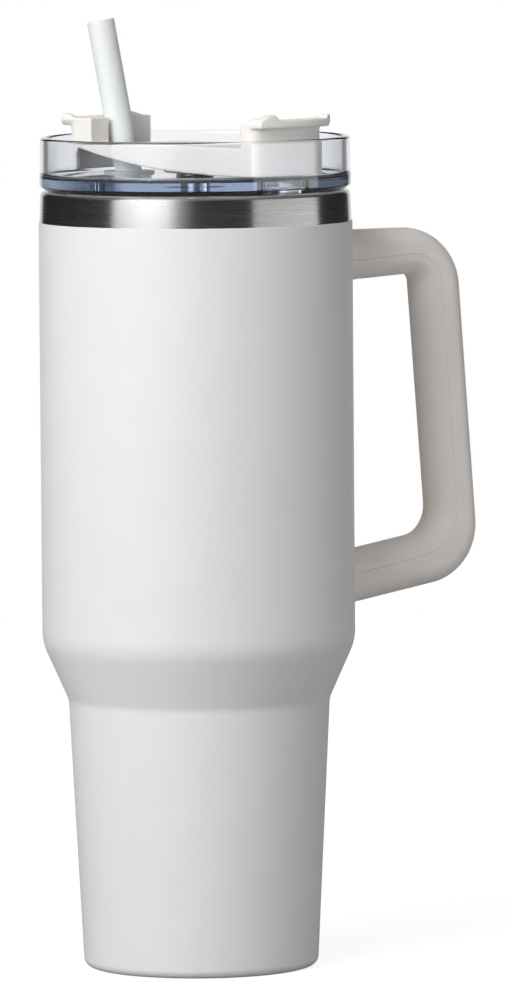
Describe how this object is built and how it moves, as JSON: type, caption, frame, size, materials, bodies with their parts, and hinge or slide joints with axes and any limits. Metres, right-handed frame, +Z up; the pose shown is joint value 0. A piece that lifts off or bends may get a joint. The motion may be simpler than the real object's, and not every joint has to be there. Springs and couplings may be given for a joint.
{
  "type": "insulated tumbler with lid",
  "caption": "Double-wall steel tumbler with a tapered base, side handle, clear press-in lid, rotating cover and straw, for carrying cold or hot drinks.",
  "frame": {"origin": "centre of the cup's base, on the surface it stands on", "axes": "+Z up the cup's axis, +X towards the handle"},
  "size_m": [0.1524, 0.1, 0.3027],
  "materials": {
    "steel": "brushed round the cup, satin",
    "steel_inside": "electropolished drawing steel, satin",
    "steel_base": "spun satin",
    "coat": "matt powder coat with a fine orange peel",
    "foil": "bright copper foil",
    "solder": "glassy grey sealing bead",
    "getter": "pressed powder",
    "hardware": "plain stainless",
    "handle_plastic": "satin moulded plastic, warm grey",
    "clear_plastic": "clear polished copolyester",
    "silicone": "translucent milky silicone",
    "black_rubber": "matt",
    "cover_plastic": "satin moulded plastic, cream",
    "straw_plastic": "frosted polypropylene"
  },
  "bodies": {
    "cup": {"outer_shell": "steel", "powder_coat": "coat", "inner_liner": "steel_inside", "foil_shield": "foil", "base_plate": "steel", "base_cap": "steel_base", "vacuum_plug": "solder", "getter": "getter", "upper_bracket": "hardware", "lower_bracket": "hardware", "handle_core": "handle_plastic", "handle_cover": "handle_plastic", "handle_screws": "hardware"},
    "lid": {"lid_base": "clear_plastic", "lid_ring": "clear_plastic", "lid_gasket": "silicone", "straw_seal": "silicone", "pivot_oring": "black_rubber"},
    "cover": {"cover_body": "cover_plastic", "cover_cap": "cover_plastic", "sip_pad": "silicone", "pivot_screw": "hardware", "pivot_washer": "hardware", "pivot_nut": "hardware"},
    "straw": {"straw_tube": "straw_plastic"}
  },
  "joints": [
    {"name": "lid_lift", "type": "slide", "parent": "cup", "child": "lid", "axis": [0, 0, 1], "range_m": [0, 0.26]},
    {"name": "cover_turn", "type": "hinge", "parent": "lid", "child": "cover", "pos_m": [0, 0, 0.2537], "axis": [0, 0, 1], "range_deg": [0, 90]},
    {"name": "straw_pull", "type": "slide", "parent": "lid", "child": "straw", "axis": [-0.1301, 0.1123, 0.9851], "range_m": [0, 0.26]}
  ]
}
